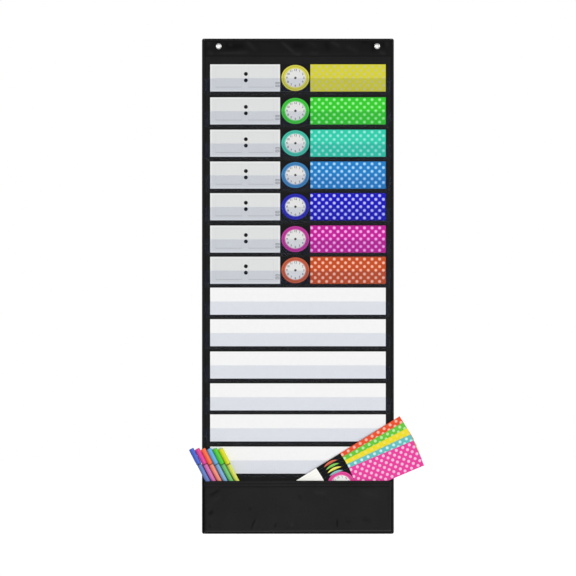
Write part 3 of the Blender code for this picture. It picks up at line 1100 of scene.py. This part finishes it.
rowTones = {
    "row_card_01": printed(rowBoard, (220, 214, 60), (210, 205, 132), (218, 212, 82)),
    "row_card_02": printed(rowBoard, (56, 209, 48), (150, 240, 146), (68, 202, 66)),
    "row_card_03": printed(rowBoard, (51, 211, 177), (150, 232, 220), (72, 196, 172)),
    "row_card_04": printed(rowBoard, (38, 131, 205), (166, 214, 250), (66, 134, 190)),
    "row_card_05": printed(rowBoard, (26, 22, 193), (192, 194, 253), (46, 46, 182)),
    "row_card_06": printed(rowBoard, (203, 34, 157), (252, 172, 238), (194, 62, 158)),
    "row_card_07": printed(rowBoard, (203, 81, 38), (246, 190, 168), (198, 96, 68)),
}
spareTones = {
    "spare_card_orange": printed(spareBoard, (240, 85, 50), (255, 190, 170), (228, 112, 86)),
    "spare_card_green": printed(spareBoard, (105, 205, 65), (192, 238, 170), (136, 214, 94)),
    "spare_card_yellow": printed(spareBoard, (245, 228, 45), (249, 226, 100), (248, 242, 104)),
    "spare_card_teal": printed(spareBoard, (105, 198, 198), (205, 240, 240), (146, 200, 203)),
    "spare_card_pink": printed(spareBoard, (240, 70, 162), (255, 194, 226), (232, 78, 158), **frontClock),
}


class StripPlace:
    # Where a strip lies: its lower left front corner, its directions, its length and its height

    def __init__(self, node, tones, turn=0.0, lean=0.0):
        low, high = boxes[node]
        size = high - low
        self.node = node
        self.right = Vector((math.cos(turn), 0, math.sin(turn)))
        if turn:
            self.length, self.height = tiltedSides(size.x, size.z, turn)
            self.up = Vector((-math.sin(turn), 0, math.cos(turn)))
            self.corner = Vector((low.x + self.height * math.sin(turn), low.y, low.z))
        else:
            self.height, thickness = tiltedSides(size.z, size.y, lean)
            self.length = size.x
            self.up = Vector((0, -math.sin(lean), math.cos(lean)))
            self.corner = Vector((low.x, high.y - thickness * math.cos(lean), low.z))
        self.front = self.right.cross(self.up)
        self.clockHalf = tones["clockWidthShare"] * self.length / 2
        self.clockRise = tones["clockHeightShare"] * self.height / 2
        self.clockUp = tones["clockUpShare"] * self.height

    def at(self, across, up, proud=0.0):
        return self.corner + self.right * across + self.up * up + self.front * proud

    def turned(self):
        return Matrix((self.right, self.up, self.front)).transposed().to_4x4()


def tiltedSides(wide, tall, angle):
    # The two sides of a rectangle from the box round it when it is tilted by an angle
    cosine, sine = math.cos(angle), math.sin(angle)
    spread = cosine**2 - sine**2
    return (wide * cosine - tall * sine) / spread, (tall * cosine - wide * sine) / spread


def makeStripFinish(place, tones):
    finish = Finish("Printed " + place.node, roughness=0.4, Specular_IOR_Level=0.08)
    soft = stripPrint["edge"]
    spot = finish.place()
    across = spot.along(place.right) - place.corner.dot(place.right)
    up = spot.along(place.up) - place.corner.dot(place.up)
    length, height = place.length, place.height
    timeEnd = stripPrint["timePanelEndShare"] * length
    dotStart = stripPrint["dotPanelStartShare"] * length

    # Polka dots on two lattices, the second half a step over
    step, rise = stripPrint["dotStepShare"] * length, stripPrint["dotRiseShare"] * height
    near = (across - stripPrint["dotPhaseShare"] * length).toNearest(step)
    nearUp = (up - height / 2).toNearest(rise)
    first = near.reach(nearUp)
    second = (step / 2 - near).reach(rise / 2 - nearUp)
    dots = (first.smaller(second) - stripPrint["dotSize"] / 2).inside(soft * 3)
    shaded = scaled(tones["ground"], stripPrint["groundDarkShare"])
    ground = finish.mix(shaded, tones["ground"], finish.cloud(0.02))
    front = finish.mix(ground, tones["dot"], dots)

    # Black panel with the clock
    clockHalf, clockRise = place.clockHalf, place.clockRise
    centre = stripPrint["clockShare"] * length
    outwards = ((across - centre) / clockHalf).reach((up - place.clockUp) / clockRise)
    softly = soft / clockRise
    ring = (outwards - 1).inside(softly)
    paleRing = (outwards - stripPrint["ringInnerShare"]).inside(softly)
    face = (outwards - stripPrint["faceShare"]).inside(softly)
    fromLine = abs(outwards - stripPrint["ringLineShare"])
    line = (fromLine - stripPrint["ringLineHalfShare"]).inside(softly)
    clock = finish.mix(tones["ring"], scaled(tones["ring"], stripPrint["ringDarkShare"]), line)
    pale = finish.mix(tones["ring"], stripPrint["paleRing"], stripPrint["paleRingShare"])
    clock = finish.mix(clock, pale, paleRing)
    clock = finish.mix(clock, tones["face"], face)
    black = finish.mix(stripPrint["black"], clock, ring)
    front = finish.mix(front, black, (across - dotStart).inside(soft))
    panel = paintTimePanel(finish, across, up, length, height, tones)
    front = finish.mix(front, panel, (across - timeEnd).inside(soft))

    # The strip's cut edges and its back are plain board
    isFront = (0.5 - finish.facing().along(tuple(place.front))).inside(0.1)
    board = finish.mix(*stripPrint["cutTones"], finish.cloud(0.002))
    finish.paint(board, front, isFront)
    finish.set("Roughness", finish.cloud(0.015) * 0.12 + 0.34)
    return finish


def boxDistance(across, up, left, right, low, high):
    # Signed distance from the edge of an upright box, negative inside it
    aside = abs(across - (left + right) / 2) - (right - left) / 2
    above = abs(up - (low + high) / 2) - (high - low) / 2
    return aside.larger(above)


def paintTimePanel(finish, across, up, length, height, tones):
    # Two boxes to write in, the two dots between hours and minutes, and two small tick boxes
    soft = stripPrint["edge"]
    edge = boxDistance(across, up, 0, stripPrint["timePanelEndShare"] * length, 0, height)
    board = tones["board"]
    inner = (edge * -1 - stripPrint["panelInset"]).inside(stripPrint["panelSoft"])
    panel = finish.mix(board, scaled(board, 1.08), inner)
    low, high = (share * height for share in stripPrint["writeBoxUpShares"])
    for leftShare, rightShare in stripPrint["writeBoxShares"]:
        box = boxDistance(across, up, leftShare * length, rightShare * length, low, high)
        line = (abs(box) - stripPrint["writeLine"] / 2).inside(soft)
        panel = finish.mix(panel, scaled(board, tones["outlineShare"]), line)
        ruled = line * (up - low - stripPrint["writeLine"]).inside(soft)
        panel = finish.mix(panel, scaled(board, tones["ruledShare"]), ruled)
    for share in stripPrint["colonUpShares"]:
        far = (across - stripPrint["colonAcrossShare"] * length).reach(up - height * share)
        dot = (far - stripPrint["colonSize"] / 2).inside(soft)
        panel = finish.mix(panel, stripPrint["colonTone"], dot)
    middle = stripPrint["tickAcrossShare"] * length
    wide, tall = stripPrint["tickWidth"] / 2, stripPrint["tickHeight"] / 2
    for share in stripPrint["tickUpShares"]:
        rise = height * share
        tick = boxDistance(across, up, middle - wide, middle + wide, rise - tall, rise + tall)
        line = (abs(tick) - stripPrint["tickLine"]).inside(soft)
        panel = finish.mix(panel, stripPrint["tickTone"], line)
    return panel


def makeBlankFinish():
    finish = Finish("Blank card", roughness=0.45, Coat_Weight=0.1)
    finish.paint(tone(243, 243, 243), tone(249, 249, 249), finish.cloud(0.006, 4.0))
    finish.bump(finish.cloud(0.0006, 3.0), 0.00003, 0.25)
    return finish


clockFigures = {
    "figureHeight": 0.0036,
    "heightShare": 0.7,  # of the type's size, that a figure is high
    "figureBold": 0.00006,
    "figureRingShare": 0.86,  # of the face
    "inkThickness": 0.00003,
    "dotSides": 24,
}


def figureMeshes():
    # The numbers 1 to 12 as flat ink, centred on the origin and standing up along Y
    meshes = []
    for hour in range(1, 13):
        curve = bpy.data.curves.new("figure", "FONT")
        curve.body = str(hour)
        curve.align_x = curve.align_y = "CENTER"
        curve.size = clockFigures["figureHeight"] / clockFigures["heightShare"]
        curve.extrude = clockFigures["inkThickness"] / 2
        curve.offset = clockFigures["figureBold"]
        curve.resolution_u = 3
        holder = addObject("figure", curve)
        view = bpy.context.evaluated_depsgraph_get()
        meshes.append(bpy.data.meshes.new_from_object(holder.evaluated_get(view)))
        bpy.data.objects.remove(holder, do_unlink=True)
        bpy.data.curves.remove(curve)
    return meshes


def makeClockFigures(place, figures, finish):
    ink = bmesh.new()
    centreAcross = stripPrint["clockShare"] * place.length
    widthHalf = place.clockHalf * stripPrint["faceShare"]
    heightHalf = place.clockRise * stripPrint["faceShare"]
    ring, proud = clockFigures["figureRingShare"], clockFigures["inkThickness"]
    stretch = Matrix.Diagonal((widthHalf / heightHalf, 1, 1, 1))
    for hour, figure in enumerate(figures, start=1):
        angle = math.radians(90 - 30 * hour)
        across = centreAcross + widthHalf * ring * math.cos(angle)
        up = place.clockUp + heightHalf * ring * math.sin(angle)
        part = bmesh.new()
        part.from_mesh(figure)
        part.transform(Matrix.Translation(place.at(across, up, proud)) @ place.turned() @ stretch)
        joined = meshData("part", part)
        ink.from_mesh(joined)
        bpy.data.meshes.remove(joined)
    where = Matrix.Translation(place.at(centreAcross, place.clockUp, proud)) @ place.turned()
    addDisc(ink, clockFigures["dotSides"], stripPrint["centreDot"], proud, where)
    return addPiece(place.node.replace("card", "clock"), ink, finish, body=place.node)


def makeStrips():
    figures = figureMeshes()
    ink = Finish("Clock ink", roughness=0.5)
    ink.paint(tone(30, 29, 31), tone(48, 47, 50), ink.cloud(0.001))
    blank = makeBlankFinish()
    places = []
    for node in rowNames:
        if node in rowTones:
            lift = jointAxes[node + "_lift"]
            lean = math.atan2(-lift.y, lift.z)
            places.append((StripPlace(node, rowTones[node], lean=lean), rowTones[node]))
        else:
            repaint(node, blank)
    for node, tones in spareTones.items():
        pull = jointAxes[node + "_pull"]
        places.append((StripPlace(node, tones, turn=math.atan2(pull.z, pull.x)), tones))
    for place, tones in places:
        repaint(place.node, makeStripFinish(place, tones))
        makeClockFigures(place, figures, ink)


def repaint(node, finish):
    solid = frame["nodes"][node]
    for slot in solid.material_slots:
        slot.material = finish.material


# Pens


pens = {
    "sides": 40,
    "tailFace": 0.0052,
    "tailRound": 0.0012,
    "tailDishShares": (0.72, 0.78, 0.86),  # of the tail's face
    "tailDishHeights": (0, 0.0004, 0),
    "tailEase": 0.0006,
    "gripLine": (0.0080, 0.0082, 0.0086, 0.0088),  # heights above the tail
    "gripLineDepth": 0.00012,
    "barrelLength": 0.1242,
    "capLength": 0.0295,
    "neckLength": 0.0090,
    "coneLength": 0.0030,
    "nibLength": 0.0028,
    "neckWidth": 0.0058,
    "coneWidth": 0.0030,
    "nibWidth": 0.0011,
    "capTop": 0.0062,
    "capRound": 0.0013,
    "capDish": 0.0003,
    "capLine": (0.0042, 0.0040, 0.0032, 0.0030),  # heights above its mouth
    "capLineDepth": 0.00018,
    "chamfer": 0.0005,
    "fit": 0.0003,
    "capSwell": 0.00023,
    "barrelSwell": 0.00038,
    "recess": 0.0002,
    "recessLength": 0.0012,
    "shadeLength": 0.0010,
    "capTones": {
        "blue": tone(76, 104, 204),
        "pink": tone(222, 72, 154),
        "orange": tone(250, 112, 74),
        "sky": tone(102, 172, 220),
        "green": tone(84, 202, 60),
        "lime": tone(214, 214, 36),
    },
    "barrelTones": {
        "blue": tone(102, 128, 192),
        "pink": tone(206, 112, 176),
        "orange": tone(240, 142, 122),
        "sky": tone(124, 168, 210),
        "green": tone(108, 190, 110),
        "lime": tone(208, 215, 90),
    },
}


def makePlasticFinish(name, colour, axis, joint):
    finish = Finish(name, roughness=0.3, Specular_IOR_Level=0.1)
    # Painted shade: the plastic is darkened where the cap closes over the barrel, for the shadow in that
    # joint
    jointShadeDistance = abs(finish.place().along(tuple(axis)) - joint.dot(axis)) - pens["shadeLength"]
    plastic = finish.mix(scaled(colour, 0.9), scaled(colour, 1.08), finish.cloud(0.005))
    finish.paint(plastic, scaled(colour, 0.3), jointShadeDistance.inside(0.0006))
    finish.set("Roughness", finish.cloud(0.002, 3.0) * 0.12 + 0.24)
    finish.bump(finish.cloud(0.0015), 0.00002, 0.2)
    return finish


def groove(radius, depth, heights):
    first, second, third, fourth = heights
    return [(radius, first), (radius - depth, second), (radius - depth, third), (radius, fourth)]


def nibHeight():
    return sum(pens[part] for part in ("barrelLength", "neckLength", "coneLength", "nibLength"))


def barrelProfile(radius):
    # Radius and height above the tail's face, from the tail up to the nib
    length, face, tailRound = pens["barrelLength"], pens["tailFace"] / 2, pens["tailRound"]
    neck, cone, nib = (pens[part] / 2 for part in ("neckWidth", "coneWidth", "nibWidth"))
    neckEnd, nibEnd = length + pens["neckLength"], nibHeight()
    coneEnd, chamfer = neckEnd + pens["coneLength"], pens["chamfer"]
    recess, recessStart = radius - pens["recess"], length - pens["recessLength"]
    dish = zip(pens["tailDishShares"], pens["tailDishHeights"])
    profile = [(0, 0)] + [(face * share, height) for share, height in dish]
    profile += arc(face - 0.0002, tailRound, tailRound, -90, -20, 4)
    profile += [(radius, tailRound + pens["tailEase"])]
    profile += groove(radius, pens["gripLineDepth"], pens["gripLine"])
    profile += [(radius, recessStart - pens["recess"]), (recess, recessStart), (recess, length)]
    profile += [(neck, length), (neck, neckEnd - chamfer), (neck - chamfer, neckEnd)]
    profile += [(cone, coneEnd), (nib, coneEnd), (nib, nibEnd - nib)]
    return profile + [(nib * 0.6, nibEnd - nib * 0.3), (0, nibEnd)]


def capProfile(radius):
    # From the middle of its top down the outside, then in at its mouth and up its bore
    base, nibEnd = pens["barrelLength"] + pens["fit"], nibHeight()
    top, bore = base + pens["capLength"], pens["neckWidth"] / 2 + pens["fit"]
    face, capRound, dish = pens["capTop"] / 2 - pens["chamfer"], pens["capRound"], pens["capDish"]
    profile = [(0, top - dish), (face - 0.0004, top - dish), (face, top)]
    profile += arc(radius - capRound, top - capRound, capRound, 80, 0, 5)
    profile += groove(radius, pens["capLineDepth"], [base + height for height in pens["capLine"]])
    profile += [(radius, base + dish), (radius - dish, base), (bore, base)]
    return profile + [(bore, nibEnd), (0, nibEnd)]


def makePens():
    for colour, capTone in pens["capTones"].items():
        barrelNode, capNode = f"pen_barrel_{colour}", f"pen_cap_{colour}"
        axis = jointAxes[f"pen_{colour}_pull"]
        tilt = math.atan2(-axis.x, axis.z)
        low, high = boxes[barrelNode]
        capLow, capHigh = boxes[capNode]
        barrel, cap = (high.y - low.y) / 2, (capHigh.y - capLow.y) / 2
        tailX = high.x - barrel * math.cos(tilt) + pens["tailRound"] * math.sin(tilt)
        tailZ = low.z + pens["tailFace"] / 2 * math.sin(tilt)
        tail = Vector((tailX, (low.y + high.y) / 2, tailZ))
        stand = Matrix.Translation(tail) @ Matrix.Rotation(-tilt, 4, "Y")
        joint = tail + axis * pens["barrelLength"]
        barrelLine = barrelProfile(barrel + pens["barrelSwell"])
        capLine = capProfile(cap + pens["capSwell"])
        for kind, profile, paint, body, node in (
            ("barrel", barrelLine, pens["barrelTones"][colour], f"pen_{colour}", barrelNode),
            ("cap", capLine, capTone, capNode, capNode),
        ):
            mesh = turnedMesh(profile, pens["sides"])
            mesh.transform(stand)
            finish = makePlasticFinish(f"{kind.title()} {colour}", paint, axis, joint)
            addPiece(f"{kind}_{colour}", mesh, finish, body, [node], node)


# Floor, light and camera


studio = {
    "floorHeight": -1.30,
    "floorSize": 14.0,
    "worldStrength": 0.46,
    "keyStrength": 1.91,
    "floorGlow": 0.5,  # seen only by the camera, so that the lit floor reads as white
    "keyAngle": 20.0,
    "keyAzimuth": 36.0,
    "keyElevation": 10.0,
    "frameWidth": 0.9923,  # across the photograph at the chart's front
    "viewCentre": (-0.0171, -0.0030, -0.4163),
    "cameraDistance": 3.6,
    "sensor": 36.0,
}


def makeStudio():
    mesh = bmesh.new()
    bmesh.ops.create_grid(mesh, x_segments=1, y_segments=1, size=studio["floorSize"] / 2)
    floor = addObject("floor", meshData("floor", mesh))
    floor.location.z = studio["floorHeight"]
    paint = Finish("Pale floor", roughness=0.9, Emission_Strength=1.0)
    paint.set("Base Color", tone(242, 242, 242))
    glow = (studio["floorGlow"],) * 3
    paint.set("Emission Color", paint.mix((0, 0, 0), glow, paint.seen()))
    floor.data.materials.append(paint.material)

    world = bpy.data.worlds.new("Studio")
    bpy.context.scene.world = world
    air = NodeTree(world, "World Output")
    dim, white = (
        air.node("ShaderNodeBackground", {}, {"Color": (1, 1, 1), "Strength": strength})
        for strength in (studio["worldStrength"], 1.0)
    )
    air.feed(air.end, air.node("ShaderNodeMixShader", {}, {0: air.seen(), 1: dim, 2: white}))

    key = bpy.data.lights.new("Key", "SUN")
    key.energy = studio["keyStrength"]
    key.angle = math.radians(studio["keyAngle"])
    lamp = addObject("Key", key)
    azimuth, elevation = math.radians(studio["keyAzimuth"]), math.radians(studio["keyElevation"])
    level = math.cos(elevation)
    source = Vector((math.sin(azimuth) * level, -math.cos(azimuth) * level, math.sin(elevation)))
    lamp.rotation_mode = "QUATERNION"
    lamp.rotation_quaternion = source.to_track_quat("Z", "Y")


def makeCamera():
    lens = bpy.data.cameras.new("Camera")
    lens.sensor_width = studio["sensor"]
    lens.lens = studio["sensor"] * studio["cameraDistance"] / studio["frameWidth"]
    camera = addObject("Camera", lens)
    camera.location = Vector(studio["viewCentre"]) + outward * studio["cameraDistance"]
    camera.rotation_euler = (math.pi / 2, 0, 0)
    bpy.context.scene.camera = camera
    bpy.context.scene.view_settings.view_transform = "Standard"


makeCamera()
makeStudio()
print("Studio ready")

threadFinish = makeThreadFinish("Sewing thread", threads["colour"])
hemThreadFinish = makeThreadFinish("Hem thread", threads["hemColour"])
tapeFinish = makeTapeFinish()
panelPiece, panelSize = makePanel(makeClothFinish("Panel cloth", cloth["panelColour"]))
tapePieces = makeBinding(tapeFinish)
headerPiece, headerSize, headerSeams = makeHeader(
    makeClothFinish("Header cloth", cloth["headerColour"], cloth["headerCreaseShade"])
)
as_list(headerSeams)
print("Panel, header and binding sewn")

makeEyelets(makeNickelFinish())
pocketFinish = makeClothFinish("Pocket cloth", cloth["pocketColour"])
hemFinish = makeClothFinish("Pocket hem cloth", cloth["hemColour"])
pocketPiece, hemPiece, pocketSeams = makeBottomPocket(pocketFinish, hemFinish)
print("Eyelets and bottom pocket made")

for cardNode in rowNames:
    makeClearPocket(cardNode[-2:], cardNode)
print("Clear pockets made")

makeStrips()
print("Strips printed")

makePens()
print("Pens made")
